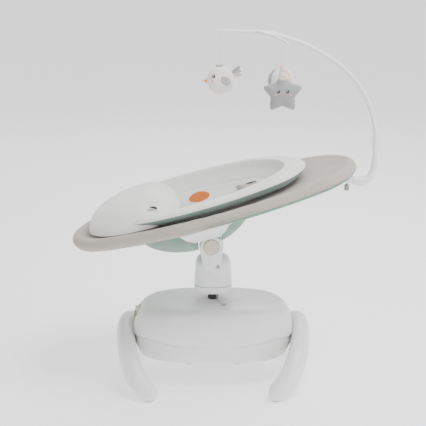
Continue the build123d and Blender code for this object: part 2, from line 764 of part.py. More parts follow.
def build_seat():
    """Frame, yoke, fabric, cushions and harness."""
    tube = oval_ring(TUBE_R)
    bracket = seat_bracket(tube)
    head_side = block((-500, -300, -40), (-17.2, 300, 40))
    foot_side = block((-16.8, -300, -40), (500, 300, 40))
    screws = frame_screws()
    save("seat_bracket", seat_placed(bracket - screws))
    save("head_frame_tube", seat_placed((tube & head_side) - screws))
    save("foot_frame_tube", seat_placed((tube & foot_side) - screws))
    save("frame_screws", seat_placed(screws))
    save("toy_bar_socket", toy_bar_socket())
    save("bar_pivot_pin", rod_y(3.0, -14.0, 14.0, PIVOT_X, PIVOT_Z))
    cover, pocket = seat_fabrics(tube, bracket + screws)
    save("seat_cover", seat_placed(cover))
    save("seat_pocket", seat_placed(pocket))
    pillow = pillow_solid()
    save("head_pillow", seat_placed(pillow))
    save("insert_cushion", seat_placed(insert_solid() - pillow))


# ---------------------------------------------------------------- harness and tag
BUCKLE_X = -112.0
BUCKLE_HALF_WIDTH = 24.0
BUCKLE_HALF_LENGTH = 20.0
BUCKLE_THICKNESS = 11.0
BUCKLE_FLOOR = -86.5
STRAP_WIDTH = 25.0
STRAP_THICKNESS = 1.6
TAG_X = -40.0
TAG_Z = -6.0
TAG_HALF_LENGTH = 26.0
TAG_HALF_WIDTH = 13.0


def buckle_shell():
    """Five-point buckle that rests in the pocket under the insert."""
    low = (BUCKLE_X - BUCKLE_HALF_LENGTH, -BUCKLE_HALF_WIDTH, BUCKLE_FLOOR)
    high = (BUCKLE_X + BUCKLE_HALF_LENGTH, BUCKLE_HALF_WIDTH, BUCKLE_FLOOR + BUCKLE_THICKNESS)
    shell = block(low, high)
    shell = fillet(shell.edges().filter_by(Axis.Z), 6.0)
    top = BUCKLE_FLOOR + BUCKLE_THICKNESS
    return shell - rod_z(9.3, top - 6.0, top + 2, BUCKLE_X)


def buckle_button():
    """Red release button in the buckle's middle."""
    top = BUCKLE_FLOOR + BUCKLE_THICKNESS
    return rod_z(9.0, top - 3.5, top - 0.5, BUCKLE_X)


def strap(points, width):
    """Flat webbing along X or Y points given as (a, z), as a band of constant thickness."""
    lower = [(a, z) for a, z in points]
    upper = [(a, z + STRAP_THICKNESS) for a, z in reversed(points)]
    return prism_x(lower + upper, BUCKLE_X - width / 2, BUCKLE_X + width / 2)


def leather_tag():
    """Oval tag sewn on the far slope of the dish."""
    height = math.acos((DISH_Z - TAG_Z) / DISH_DEPTH)
    y = DISH_HALF_WIDTH * math.sin(height)
    slope = math.degrees(math.atan2(y / DISH_HALF_WIDTH ** 2, (DISH_Z - TAG_Z) / DISH_DEPTH ** 2))
    place = Location((TAG_X, y, TAG_Z), (slope, 0, 0))
    plate = extrude(place * Pos(0, 0, -2.0) * Ellipse(TAG_HALF_LENGTH, TAG_HALF_WIDTH), 3.6)
    dish = ellipsoid((DISH_X, 0, DISH_Z), (DISH_HALF_LENGTH, DISH_HALF_WIDTH, DISH_DEPTH))
    return plate & dish


def build_harness():
    """Buckle and straps, kept under the insert, and the leather tag."""
    middle = BUCKLE_FLOOR + BUCKLE_THICKNESS / 2
    save("harness_buckle", seat_placed(buckle_shell()))
    save("buckle_button", seat_placed(buckle_button()))
    straps = [block((BUCKLE_X - BUCKLE_HALF_LENGTH - 16, -12, middle),
                    (BUCKLE_X - BUCKLE_HALF_LENGTH, 12, middle + STRAP_THICKNESS))]
    for side in (-1, 1):
        route = [(side * BUCKLE_HALF_WIDTH, middle), (side * 62.0, middle + 8.0), (side * 92.0, middle + 22.0)]
        straps.append(strap(route, STRAP_WIDTH))
    save("harness_straps", group([seat_placed(piece) for piece in straps]))
    save("leather_tag", seat_placed(leather_tag()))


# ---------------------------------------------------------------- toy bar
FOOT_ROUTE = [
    (PIVOT_X + 11.0, 530.0, 9.5),
    (369.0, 526.0, 12.0),
    (385.0, 525.5, BAR_FOOT_R),
    (399.0, 531.0, 11.5),
    (408.0, 544.0, 9.6),
    (412.5, 562.0, 8.2),
    (414.3, 585.0, 7.4),
    (414.6, 605.0, BAR_R),
]
ARCH_ROUTE = [
    (414.6, 605.0, BAR_R),
    (413.2, 645.0, 7.0),
    (407.0, 684.0, 6.8),
    (394.0, 722.0, 6.6),
    (372.0, 764.0, 6.4),
    (340.0, 802.0, 6.2),
    (298.0, 836.0, 6.0),
    (246.0, 866.0, 5.6),
    (190.0, 888.0, 5.3),
    (150.0, 898.0, BAR_TIP_R),
    (HUB[0], 902.5, BAR_TIP_R),
    (80.0, 905.2, 4.8),
    (40.0, 906.2, 4.4),
    (6.0, 906.4, 3.6),
]
STRING_TOPS = {
    "bird": (15.8, 0.0, 900.2),
    "star": (168.3, -94.0, 881.5),
    "balloon": (176.3, 94.0, 881.5),
}


def round_bar(route):
    """Tapered round bar through (x, z, radius) stations in the XZ plane."""
    sections = []
    for index, (x, z, radius) in enumerate(route):
        before = route[max(index - 1, 0)]
        after = route[min(index + 1, len(route) - 1)]
        direction = Vector(after[0] - before[0], 0, after[1] - before[1]).normalized()
        sections.append(Plane(origin=(x, 0, z), x_dir=(0, 1, 0), z_dir=direction) * Circle(radius))
    return loft(sections)


def bar_foot():
    """Thick curved foot of the toy bar, with the pivot tongue."""
    tongue = rod_y(9.0, -7.4, 7.4, PIVOT_X, PIVOT_Z)
    neck = block((PIVOT_X, -7.4, PIVOT_Z - 9), (PIVOT_X + 14.0, 7.4, PIVOT_Z + 6))
    foot = round_bar(FOOT_ROUTE) + (tongue + neck) - round_bar(ARCH_ROUTE)
    foot -= rod_z(RELEASE_STEM_R + RUN_CLEARANCE, PIVOT_Z - 12, PIVOT_Z - 4, PIVOT_X)
    return foot - rod_y(3.0 + RUN_CLEARANCE, -20, 20, PIVOT_X, PIVOT_Z)


def bar_release_button():
    """Dark push button under the pivot tongue; pressed upwards it frees the toy bar."""
    cap = rod_z(6.5, 501.0, 516.0, PIVOT_X)
    cap = fillet(cap.edges().filter_by(GeomType.CIRCLE), 1.6)
    return cap + rod_z(RELEASE_STEM_R, 515.0, PIVOT_Z - 7.5, PIVOT_X)


def toy_arm(side, tip):
    """One curved side arm of the toy holder."""
    start = Vector(HUB[0] - 14.0, side * 1.5, 903.5)
    middle = Vector(HUB[0] + 18.0, side * 40.0, 900.0)
    end = Vector(*tip)
    path = Spline(start, middle, end)
    sections = []
    for place, radius in ((0.0, 4.4), (0.35, 4.2), (0.7, 3.9), (1.0, 3.4)):
        plane = Plane(origin=path @ place, z_dir=path % place)
        sections.append(plane * Circle(radius))
    return loft(sections)


def arm_rings():
    """Small caps that tie the strings to the arms."""
    rings = []
    for x, y, z in STRING_TOPS.values():
        rings.append(rod_z(2.4, z + 0.4, z + 3.0, x, y))
    return rings


def toy_string(name, low):
    """Straight string under load, from the arm down to the toy."""
    x, y, z = STRING_TOPS[name]
    return rod_z(STRING_R, low, z, x, y)


def bird_toy():
    """Flat stuffed bird: round body, tail, crest and beak."""
    x, y, _ = STRING_TOPS["bird"]
    body = ellipsoid((x + 3, y, BIRD_TOP - 37.0), (34.0, 19.0, 34.0))
    crest = ellipsoid((x, y, BIRD_TOP - 4.0), (8.0, 3.0, 4.0))
    crest_stem = rod_z(2.5, BIRD_TOP - 10, BIRD_TOP - 2, x, y)
    tail = ellipsoid((x + 40.0, y, BIRD_TOP - 22.0), (16.0, 4.0, 11.0))
    beak = ellipsoid((x - 33.0, y, BIRD_TOP - 38.0), (8.0, 5.0, 4.0))
    return body + crest + crest_stem + tail + beak


def star_toy():
    """Stuffed five-pointed star."""
    x, y, _ = STRING_TOPS["star"]
    centre_z = STAR_TOP - 46.0
    points = []
    for index in range(10):
        radius = 52.0 if index % 2 == 0 else 29.0
        angle = math.radians(90 + index * 36)
        points.append((x + radius * math.cos(angle), centre_z + radius * math.sin(angle)))
    star = prism_y(points, y - 13.0, y + 13.0)
    star = fillet(star.edges().filter_by(Axis.Y), 7.0)
    return star + rod_z(2.0, STAR_TOP - 12.0, STAR_TOP, x, y)


def balloon_toy():
    """Stuffed ball with a small tied neck."""
    x, y, _ = STRING_TOPS["balloon"]
    ball = Pos(x, y, BALLOON_TOP - 35.0) * Sphere(33.5)
    return ball + rod_z(4.0, BALLOON_TOP - 3.0, BALLOON_TOP, x, y)


def build_toys():
    """Toy bar, arms, strings and the three hanging toys."""
    save("toy_bar_foot", bar_foot())
    save("bar_release_button", bar_release_button())
    arch = round_bar(ARCH_ROUTE)
    rings = arm_rings()
    near_tip = (179.0, -99.0, 884.5)
    far_tip = (186.0, 98.5, 884.5)
    near_arm = toy_arm(-1, near_tip)
    far_arm = toy_arm(1, far_tip)
    save("string_caps", group([ring - arch - near_arm - far_arm for ring in rings]))
    save("near_toy_arm", near_arm - arch)
    save("far_toy_arm", far_arm - arch)
    save("toy_bar_arch", arch)
    save("bird_string", toy_string("bird", BIRD_TOP))
    save("star_string", toy_string("star", STAR_TOP))
    save("balloon_string", toy_string("balloon", BALLOON_TOP))
    save("bird", bird_toy())
    save("star", star_toy())
    save("balloon", balloon_toy())


build_base()
build_swing_arm()
build_neck()
build_seat()
build_harness()
build_toys()

os.makedirs("parts", exist_ok=True)
for name, shape in PARTS.items():
    export_step(shape, f"parts/{name}.step")
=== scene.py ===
"""Looks of the baby swing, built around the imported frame. Metres, row frame, +Z up."""

import math

import bmesh
import bpy
import numpy as np
from mathutils import Matrix, Vector, noise


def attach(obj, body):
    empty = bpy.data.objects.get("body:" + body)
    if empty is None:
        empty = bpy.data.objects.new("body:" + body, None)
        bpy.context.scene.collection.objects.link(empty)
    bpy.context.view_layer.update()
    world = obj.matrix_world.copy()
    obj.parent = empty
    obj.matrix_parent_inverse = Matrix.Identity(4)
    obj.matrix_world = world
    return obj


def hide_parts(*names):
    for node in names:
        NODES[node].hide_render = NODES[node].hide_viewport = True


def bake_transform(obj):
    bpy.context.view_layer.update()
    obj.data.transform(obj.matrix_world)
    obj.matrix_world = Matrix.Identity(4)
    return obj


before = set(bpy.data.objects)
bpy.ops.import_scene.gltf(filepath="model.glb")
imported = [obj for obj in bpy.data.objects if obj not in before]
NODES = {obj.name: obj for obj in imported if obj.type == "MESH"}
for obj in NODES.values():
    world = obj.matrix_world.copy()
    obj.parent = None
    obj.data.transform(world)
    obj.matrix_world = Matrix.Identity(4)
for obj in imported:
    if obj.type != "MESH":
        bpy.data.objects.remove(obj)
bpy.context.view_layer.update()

MM = 0.001
SEAT_TILT = math.radians(15.4)
SEAT = Matrix.Translation((0, 0, 0.471)) @ Matrix.Rotation(-SEAT_TILT, 4, "Y")


# ---------------------------------------------------------------- materials
def linear(rgb):
    """sRGB 0-255 to the linear values that shaders take."""
    out = []
    for channel in rgb:
        c = channel / 255
        out.append(c / 12.92 if c <= 0.04045 else ((c + 0.055) / 1.055) ** 2.4)
    return tuple(out) + (1.0,)


class Shader:
    """A material with a Principled shader and short ways to add nodes."""

    def __init__(self, name, rough, metallic=0.0, sheen=0.0, coat=0.0):
        self.mat = bpy.data.materials.new(name)
        self.mat.use_nodes = True
        self.nodes = self.mat.node_tree.nodes
        self.links = self.mat.node_tree.links
        self.bsdf = self.nodes["Principled BSDF"]
        self.bsdf.inputs["Roughness"].default_value = rough
        self.bsdf.inputs["Metallic"].default_value = metallic
        self.bsdf.inputs["Sheen Weight"].default_value = sheen
        self.bsdf.inputs["Coat Weight"].default_value = coat
        self.coords = self.nodes.new("ShaderNodeTexCoord").outputs["Object"]

    def link(self, a, b):
        self.links.new(a, b)

    def noise(self, scale, detail=3.0, stretch=None):
        node = self.nodes.new("ShaderNodeTexNoise")
        node.inputs["Scale"].default_value = scale
        node.inputs["Detail"].default_value = detail
        source = self.coords
        if stretch:
            mapping = self.nodes.new("ShaderNodeMapping")
            mapping.inputs["Scale"].default_value = stretch
            self.link(source, mapping.inputs["Vector"])
            source = mapping.outputs["Vector"]
        self.link(source, node.inputs["Vector"])
        return node.outputs["Fac"]

    def wave(self, scale, direction):
        node = self.nodes.new("ShaderNodeTexWave")
        node.bands_direction = direction
        node.inputs["Scale"].default_value = scale
        node.inputs["Distortion"].default_value = 0.6
        node.inputs["Detail"].default_value = 1.0
        self.link(self.coords, node.inputs["Vector"])
        return node.outputs["Fac"]

    def maths(self, kind, a, b):
        node = self.nodes.new("ShaderNodeMath")
        node.operation = kind
        for socket, value in zip(node.inputs, (a, b)):
            if isinstance(value, (int, float)):
                socket.default_value = value
            else:
                self.link(value, socket)
        return node.outputs[0]

    def ramp(self, factor, stops, constant=False):
        node = self.nodes.new("ShaderNodeValToRGB")
        if constant:
            node.color_ramp.interpolation = "CONSTANT"
        elements = node.color_ramp.elements
        while len(elements) < len(stops):
            elements.new(0.5)
        for element, (place, colour) in zip(elements, stops):
            element.position = place
            element.color = colour
        self.link(factor, node.inputs["Fac"])
        return node.outputs["Color"]

    def colour(self, source):
        self.link(source, self.bsdf.inputs["Base Color"])

    def spread(self, socket, factor, low, high):
        """Drive a shader input between two values."""
        node = self.nodes.new("ShaderNodeMapRange")
        node.inputs["To Min"].default_value = low
        node.inputs["To Max"].default_value = high
        self.link(factor, node.inputs["Value"])
        self.link(node.outputs["Result"], self.bsdf.inputs[socket])

    def bump(self, height, strength, distance):
        node = self.nodes.new("ShaderNodeBump")
        node.inputs["Strength"].default_value = strength
        node.inputs["Distance"].default_value = distance
        self.link(height, node.inputs["Height"])
        self.link(node.outputs["Normal"], self.bsdf.inputs["Normal"])


def shade(rgb, gain):
    """A colour made darker or lighter."""
    return tuple(min(255, c * gain) for c in rgb)


def plastic(name, rgb, rough=0.34, grain=0.12, coat=0.0):
    """Moulded plastic: fine spark texture, faint flow marks and slightly worn edges."""
    s = Shader(name, rough, coat=coat)
    flow = s.noise(9.0, 4.0, (1.0, 1.0, 3.0))
    base = s.ramp(flow, [(0.3, linear(shade(rgb, 0.985))), (0.7, linear(shade(rgb, 1.01)))])
    edge = s.nodes.new("ShaderNodeNewGeometry").outputs["Pointiness"]
    worn = s.ramp(edge, [(0.52, (0, 0, 0, 1)), (0.6, (1, 1, 1, 1))])
    mix = s.nodes.new("ShaderNodeMixRGB")
    mix.inputs["Color2"].default_value = linear(shade(rgb, 1.05))
    s.link(base, mix.inputs["Color1"])
    s.link(worn, mix.inputs["Fac"])
    s.colour(mix.outputs["Color"])
    s.spread("Roughness", s.noise(160.0), rough - 0.05, rough + 0.08)
    s.bump(s.noise(1400.0, 2.0), grain, 0.0002)
    return s.mat


def metal(name, rgb, rough, brushed):
    """Turned or brushed metal with fine lines along the piece."""
    s = Shader(name, rough, metallic=1.0)
    lines = s.noise(60.0, 6.0, brushed)
    s.colour(s.ramp(lines, [(0.3, linear(shade(rgb, 0.85))), (0.7, linear(shade(rgb, 1.08)))]))
    s.spread("Roughness", lines, rough - 0.08, rough + 0.12)
    s.bump(lines, 0.15, 0.0002)
    return s.mat


def rubber(name, rgb):
    """Moulded rubber with a dusty, pebbled face."""
    s = Shader(name, 0.75)
    dust = s.noise(35.0, 5.0)
    s.colour(s.ramp(dust, [(0.35, linear(shade(rgb, 0.8))), (0.75, linear(shade(rgb, 1.35)))]))
    s.spread("Roughness", dust, 0.65, 0.9)
    s.bump(s.noise(900.0), 0.3, 0.0003)
    return s.mat


def cloth(name, rgb, thread=0.0011, heather=0.06, weave=0.35, sheen=0.25):
    """Woven cloth: crossing threads, heathered yarn and faint soft shading."""
    s = Shader(name, 0.92, sheen=sheen)
    scale = 0.1 / thread
    over = s.maths("ADD", s.wave(scale, "X"), s.wave(scale, "Y"))
    threads = s.maths("MULTIPLY", s.maths("ADD", over, s.wave(scale, "Z")), 0.333)
    yarn = s.noise(420.0, 3.0, (1.0, 2.5, 2.5))
    cloudy = s.noise(14.0, 3.0)
    mixed = s.maths("ADD", s.maths("MULTIPLY", yarn, 0.6), s.maths("MULTIPLY", cloudy, 0.4))
    darker = linear(shade(rgb, 1.0 - heather))
    lighter = linear(shade(rgb, 1.0 + heather))
    s.colour(s.ramp(mixed, [(0.35, darker), (0.5, linear(rgb)), (0.66, lighter)]))
    s.spread("Roughness", yarn, 0.84, 0.98)
    height = s.maths("ADD", threads, s.maths("MULTIPLY", yarn, 0.5))
    s.bump(height, weave, 0.0006)
    return s.mat


def plush(name, rgb, spots=None):
    """Short pile cloth, with an optional scatter of printed spots."""
    s = Shader(name, 0.95, sheen=0.5)
    pile = s.noise(700.0, 4.0)
    base = s.ramp(pile, [(0.3, linear(shade(rgb, 0.93))), (0.7, linear(shade(rgb, 1.04)))])
    if spots:
        cells = s.nodes.new("ShaderNodeTexVoronoi")
        cells.inputs["Scale"].default_value = 170.0
        s.link(s.coords, cells.inputs["Vector"])
        mask = s.ramp(cells.outputs["Distance"], [(0.22, (1, 1, 1, 1)), (0.27, (0, 0, 0, 1))])
        mix = s.nodes.new("ShaderNodeMixRGB")
        mix.inputs["Color2"].default_value = linear(spots)
        s.link(mask, mix.inputs["Fac"])
        s.link(base, mix.inputs["Color1"])
        base = mix.outputs["Color"]
    s.colour(base)
    s.bump(pile, 0.5, 0.0006)
    return s.mat


def striped(name, centre, colours):
    """Cloth gores round an upright axis, as on a stuffed ball."""
    s = Shader(name, 0.9, sheen=0.3)
    split = s.nodes.new("ShaderNodeSeparateXYZ")
    s.link(s.coords, split.inputs["Vector"])
    x = s.maths("SUBTRACT", split.outputs["X"], centre[0])
    y = s.maths("SUBTRACT", split.outputs["Y"], centre[1])
    turn = s.maths("ADD", s.maths("MULTIPLY", s.maths("ARCTAN2", y, x), 0.5 / math.pi), 0.5)
    stops = [(i / len(colours), linear(c)) for i, c in enumerate(colours)]
    s.colour(s.ramp(turn, stops, constant=True))
    s.bump(s.noise(600.0, 4.0), 0.35, 0.0005)
    return s.mat


WHITE = plastic("white_plastic", (232, 232, 231), 0.33)
NECK_WHITE = plastic("neck_plastic", (230, 230, 231), 0.36)
BAR_WHITE = plastic("bar_plastic", (234, 234, 233), 0.3)
BEIGE = plastic("beige_plastic", (205, 192, 177), 0.55, 0.25)
PANEL = plastic("panel_plastic", (196, 176, 157), 0.55, 0.25)
GREY = plastic("grey_plastic", (150, 146, 142), 0.45, 0.2)
INNER = plastic("inner_plastic", (120, 122, 124), 0.5)
BOARD = plastic("board_resin", (40, 92, 62), 0.45)
RED = plastic("red_plastic", (182, 50, 46), 0.35)
LAMP = plastic("lamp_lens", (250, 248, 240), 0.2)
STEEL = metal("brushed_steel", (172, 172, 175), 0.32, (1.0, 1.0, 30.0))
DARK_STEEL = metal("dark_steel", (78, 79, 83), 0.36, (12.0, 12.0, 1.0))
COPPER = metal("copper_wire", (196, 120, 78), 0.35, (1.0, 40.0, 1.0))
RUBBER = rubber("black_rubber", (52, 52, 54))
CABLE = rubber("grey_cable", (160, 160, 162))
TAUPE = cloth("taupe_cloth", (168, 161, 153), heather=0.07)
TEAL = cloth("teal_cloth", (114, 140, 126), heather=0.08)
# Teal-grey for the insert's lower side band: the teal underside cloth, darkened with painted shade for the
# side turned down and away from the light.
TEAL_SIDE_AND_SHADE = cloth("teal_side_cloth_and_shade", (124, 142, 137), heather=0.05)
CREAM = cloth("cushion_cloth", (226, 226, 223), thread=0.0014, heather=0.02, weave=0.28)
PILLOW = cloth("pillow_cloth", (224, 224, 221), thread=0.0014, heather=0.02, weave=0.28)
WEB = cloth("webbing", (120, 122, 122), thread=0.0009, weave=0.6)
CORD = cloth("string_cloth", (225, 224, 220), thread=0.0005, weave=0.5)
LEATHER = cloth("tag_leather", (200, 112, 48), thread=0.0022, heather=0.14, weave=0.25, sheen=0.0)
# Near-black cloth for the harness slots: painted shade standing in for the shadow inside the openings.
SLOT_SHADE = cloth("slot_painted_shade", (40, 42, 42), heather=0.1)

NODE_MATERIALS = {
    "leg_screws": STEEL, "foot_pads": RUBBER, "control_panel": PANEL, "indicator_lamps": LAMP,
    "power_button": GREY, "speed_button": GREY, "timer_button": GREY, "music_button": GREY,
    "circuit_board": BOARD, "speaker": INNER, "power_jack": INNER, "bearing_column": INNER,
    "lower_bearing": STEEL, "upper_bearing": STEEL, "shaft_gaiter": RUBBER, "drive_coil": COPPER,
    "coil_bracket": STEEL, "cover_screws": STEEL, "swing_shaft": DARK_STEEL, "lower_collar": NECK_WHITE,
    "drive_lever": STEEL, "lever_pin": STEEL, "drive_magnet": DARK_STEEL, "shaft_circlip": STEEL,
    "hinge_pin": STEEL, "front_recline_cap": BEIGE, "rear_recline_cap": BEIGE, "swivel_lock_button": GREY,
    "head_frame_tube": STEEL, "foot_frame_tube": STEEL, "frame_screws": STEEL, "toy_bar_socket": BAR_WHITE,
    "bar_pivot_pin": STEEL, "harness_buckle": INNER, "harness_straps": WEB, "buckle_button": RED,
    "toy_bar_foot": BAR_WHITE, "toy_bar_arch": BAR_WHITE, "near_toy_arm": BAR_WHITE,
    "far_toy_arm": BAR_WHITE, "string_caps": BAR_WHITE, "bar_release_button": GREY,
}
for node, mat in NODE_MATERIALS.items():
    for place in NODES[node].material_slots:
        place.material = mat


# ---------------------------------------------------------------- mesh helpers
def new_object(name, verts, faces, mats, slots=None, smooth=True):
    """A mesh object in the row frame."""
    mesh = bpy.data.meshes.new(name)
    mesh.from_pydata([tuple(v) for v in verts], [], faces)
    for mat in mats if isinstance(mats, (list, tuple)) else [mats]:
        mesh.materials.append(mat)
    if slots is not None:
        mesh.polygons.foreach_set("material_index", slots)
    mesh.polygons.foreach_set("use_smooth", [smooth] * len(mesh.polygons))
    mesh.update()
    work = bmesh.new()
    work.from_mesh(mesh)
    bmesh.ops.remove_doubles(work, verts=work.verts, dist=1e-7)
    bmesh.ops.recalc_face_normals(work, faces=work.faces)
    work.to_mesh(mesh)
    work.free()
    obj = bpy.data.objects.new(name, mesh)
    bpy.context.scene.collection.objects.link(obj)
    return obj


def grid(name, points, mats, slots=None, wrap=True, caps=(False, False)):
    """A surface through rows of points; wrap joins each row's end to its start."""
    rows, cols = points.shape[:2]
    verts = points.reshape(-1, 3)
    faces = []
    indices = []
    for i in range(rows - 1):
        for j in range(cols if wrap else cols - 1):
            k = (j + 1) % cols
            faces.append((i * cols + j, i * cols + k, (i + 1) * cols + k, (i + 1) * cols + j))
            indices.append(0 if slots is None else int(slots[i]))
    for row, wanted in zip((0, rows - 1), caps):
        if wanted:
            faces.append(tuple(range(row * cols, row * cols + cols)))
            indices.append(0 if slots is None else int(slots[min(row, rows - 2)]))
    return new_object(name, verts, faces, mats, indices)


def to_row(points):
    """Seat-frame millimetres to row-frame metres."""
    flat = points.reshape(-1, 3) * MM
    rot = np.array(SEAT.to_3x3())
    return (flat @ rot.T + np.array(SEAT.translation)).reshape(points.shape)


def finish_piece(obj, body, nodes):
    """Put a piece on its body, in place of its CAD nodes."""
    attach(obj, body)
    if nodes:
        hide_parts(*nodes)
    return obj


def tube(name, path, radius, mat, sides=12, closed=False):
    """Round tube along points, in metres; radius is a number or one per point."""
    path = np.array(path, float)
    count = len(path)
    radii = np.full(count, radius) if np.isscalar(radius) else np.array(radius)
    if closed:
        tangents = np.roll(path, -1, 0) - np.roll(path, 1, 0)
    else:
        tangents = np.gradient(path, axis=0)
    tangents /= np.linalg.norm(tangents, axis=1)[:, None]
    side = np.cross(tangents[0], (0.31, 0.17, 0.93))
    rings = []
    angles = np.linspace(0, 2 * math.pi, sides, endpoint=False)
    for point, tangent, r in zip(path, tangents, radii):
        side = side - tangent * side.dot(tangent)
        side /= np.linalg.norm(side)
        up = np.cross(tangent, side)
        rings.append(point + r * (np.cos(angles)[:, None] * side + np.sin(angles)[:, None] * up))
    if closed:
        rings.append(rings[0])
    return grid(name, np.array(rings), mat, caps=(not closed, not closed))


def softened(name, node, mat, voxel, rounds, body, factor=0.5):
    """A smoothed copy of a CAD node: the same form with rounded joins."""
    source = NODES[node]
    obj = bpy.data.objects.new(name, source.data.copy())
    bpy.context.scene.collection.objects.link(obj)
    obj.matrix_world = source.matrix_world
    obj.data.materials.clear()
    obj.data.materials.append(mat)
    remesh = obj.modifiers.new("remesh", "REMESH")
    remesh.mode = "VOXEL"
    remesh.voxel_size = voxel
    smooth = obj.modifiers.new("smooth", "SMOOTH")
    smooth.factor = factor
    smooth.iterations = rounds
    depsgraph = bpy.context.evaluated_depsgraph_get()
    mesh = bpy.data.meshes.new_from_object(obj.evaluated_get(depsgraph))
    obj.modifiers.clear()
    obj.data = mesh
    mesh.polygons.foreach_set("use_smooth", [True] * len(mesh.polygons))
    return finish_piece(obj, body, [node])


# ---------------------------------------------------------------- base housing
DOME = [(118.0, 213.0, 129.0), (134.0, 212.4, 128.2), (150.0, 210.5, 126.6), (166.0, 206.0, 123.0),
        (180.0, 198.0, 117.5), (191.0, 187.0, 110.5), (198.5, 172.0, 101.0), (203.0, 152.0, 88.0),
        (205.2, 125.0, 70.0), (206.2, 90.0, 50.0), (206.6, 45.0, 25.0), (206.7, 1.0, 1.0)]
SKIRT = [(118.0, 213.0, 129.0), (104.0, 211.0, 128.0), (90.0, 206.5, 125.5), (78.0, 201.0, 122.0),
         (70.0, 196.5, 119.0), (66.0, 192.0, 116.0), (65.0, 186.0, 111.0), (65.0, 100.0, 60.0),
         (65.0, 1.0, 1.0)]


HOUSING_HALF_LENGTH = 213.0
SEAM_Z = 118.0
SEAM_REACH = 40.0
SEAM_LIFT = 15.0
LIP_INSET = 0.965
CREASE_INSET = 0.026


def superellipse(a, b, power, count):
    """Points round a superellipse, evenly enough for a smooth mesh."""
    t = np.linspace(0, 2 * math.pi, count, endpoint=False)
    c, s = np.cos(t), np.sin(t)
    r = (np.abs(c) ** power + np.abs(s) ** power) ** (-1 / power)
    return np.stack([a * r * c, b * r * s], 1), t


def spline_levels(levels, count):
    """More levels between the given ones, on a smooth line."""
    table = np.array(levels)
    run = np.concatenate([[0], np.cumsum(np.linalg.norm(np.diff(table, axis=0), axis=1))])
    at = np.linspace(0, run[-1], count)
    out = np.stack([np.interp(at, run, table[:, k]) for k in range(3)], 1)
    for _ in range(3):
        out[1:-1] = (out[:-2] + 2 * out[1:-1] + out[2:]) / 4
    return out


def housing(levels, count, crease_side):
    """Rows of points for one half of the housing, with the crease that fades at mid length."""
    rows = []
    for z, a, b in spline_levels(levels, count):
        ring, t = superellipse(a, b, 3.0, 240)
        ends = np.clip((np.abs(ring[:, 0]) / HOUSING_HALF_LENGTH - 0.25) / 0.5, 0, 1) ** 1.5
        near_seam = np.clip(1 - np.abs(z - SEAM_Z) / SEAM_REACH, 0, 1)
        lift = SEAM_LIFT * ends * near_seam * np.clip(np.abs(ring[:, 1]) / 110.0, 0.25, 1)
        height = z + lift
        inset = 1.0 - crease_side * CREASE_INSET * ends * math.exp(-abs(z - SEAM_Z) / 16.0)
        rows.append(np.stack([ring[:, 0] * inset, ring[:, 1] * inset, height], 1))
    lip = rows[0] * (LIP_INSET, LIP_INSET, 1.0)
    return np.array([lip] + rows) * MM


top_cover = grid("dome_cover", housing(DOME, 60, 0.0), WHITE)
finish_piece(top_cover, "base", ["base_top_cover"])
bottom_cover = grid("tray_cover", housing(SKIRT, 44, 1.0), WHITE)
finish_piece(bottom_cover, "base", ["base_bottom_cover"])


# ---------------------------------------------------------------- legs
def leg_rows(side):
    """Rows of points along one crescent leg."""
    tip_x, reach, px, tip_y, tip_z, rise, pz, r, half_w, half_h, lean, ph, pw = LEG_NUMBERS
    us = np.sin(np.linspace(-1, 1, 121) * math.pi / 2) * 0.9995
    rows = []

    def spine(u):
        lift = max(math.cos(u * math.pi / 2), 0.0)
        y = tip_y * math.sin(u * math.pi / 2)
        return Vector((tip_x + reach * lift ** px, y, tip_z + rise * lift ** pz))

    centres = [spine(u) for u in us]
    runs = [0.0]
    for a, b in zip(centres, centres[1:]):
        runs.append(runs[-1] + (b - a).length)
    for u, centre, run in zip(us, centres, runs):
        to_end = min(1.0, (min(run, runs[-1] - run) + 0.3) / r)
        span = math.sqrt(1 - (1 - to_end) ** 2)
        lift = math.cos(u * math.pi / 2)
        w = (r + (half_w - r) * lift ** pw) * span
        h = (r + (half_h - r) * lift ** ph) * span
        direction = (spine(min(u + 0.004, 0.9999)) - spine(max(u - 0.004, -0.9999))).normalized()
        sideways = Vector((0, 0, 1)).cross(direction).normalized()
        up = direction.cross(sideways)
        a = math.radians(lean * lift)
        ring = []
        for k in range(48):
            t = 2 * math.pi * k / 48
            cx, cy = math.cos(t), math.sin(t)
            x1 = math.copysign(abs(cx) ** 0.86, cx) * w
            y1 = math.copysign(abs(cy) ** 0.86, cy) * h
            xr = x1 * math.cos(a) - y1 * math.sin(a)
            yr = x1 * math.sin(a) + y1 * math.cos(a)
            p = centre + sideways * xr + up * yr
            ring.append((side * p.x, p.y, max(p.z, 3.0)))
        rows.append(ring)
    return np.array(rows) * MM


LEG_NUMBERS = (139.7, 91.5, 0.75, 189.0, 19.0, 88.0, 1.55, 22.0, 25.6, 44.6, 6.0, 1.5, 0.5)
for side, node in ((1, "rear_end_leg"), (-1, "control_end_leg")):
    leg = grid(node.replace("_leg", "_leg_shell"), leg_rows(side), WHITE, caps=(True, True))
    finish_piece(leg, "base", [node])

softened("neck_body", "neck_shell", NECK_WHITE, 0.0016, 14, "neck")
softened("yoke", "seat_bracket", NECK_WHITE, 0.0022, 14, "seat")


